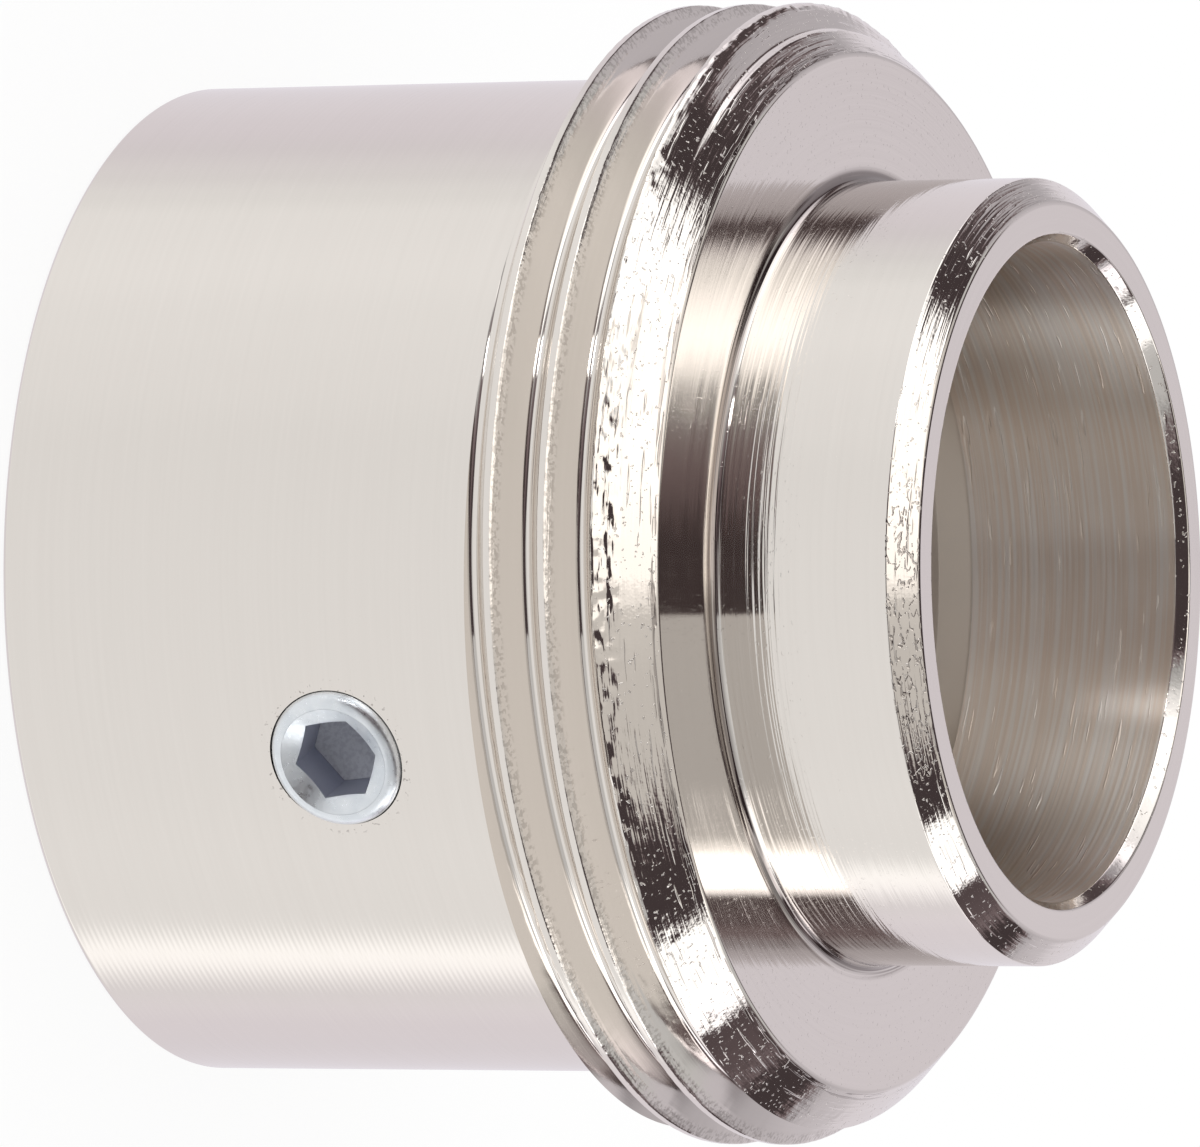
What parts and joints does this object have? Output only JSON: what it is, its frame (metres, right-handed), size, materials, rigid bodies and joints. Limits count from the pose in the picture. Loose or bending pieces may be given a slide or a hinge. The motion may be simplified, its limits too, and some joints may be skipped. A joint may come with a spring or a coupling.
{
  "type": "radiator valve adapter",
  "caption": "Nickel-plated turned brass bush with a clamping socket, a threaded collar and a bored nose, held by grub screws.",
  "frame": {"origin": "middle of the open end of the socket, on the axis, where the part stands", "axes": "+Z along the axis from the socket to the nose, -Y through the first grub screw"},
  "size_m": [0.0298, 0.0298, 0.0242],
  "materials": {
    "nickel_plated_brass": "turned brass with satin nickel plating",
    "zinc_plated_steel": "hardened steel with bright zinc plating"
  },
  "bodies": {
    "root": {"adapter_body": "nickel_plated_brass", "grub_screw_1": "zinc_plated_steel", "grub_screw_2": "zinc_plated_steel"}
  },
  "joints": []
}
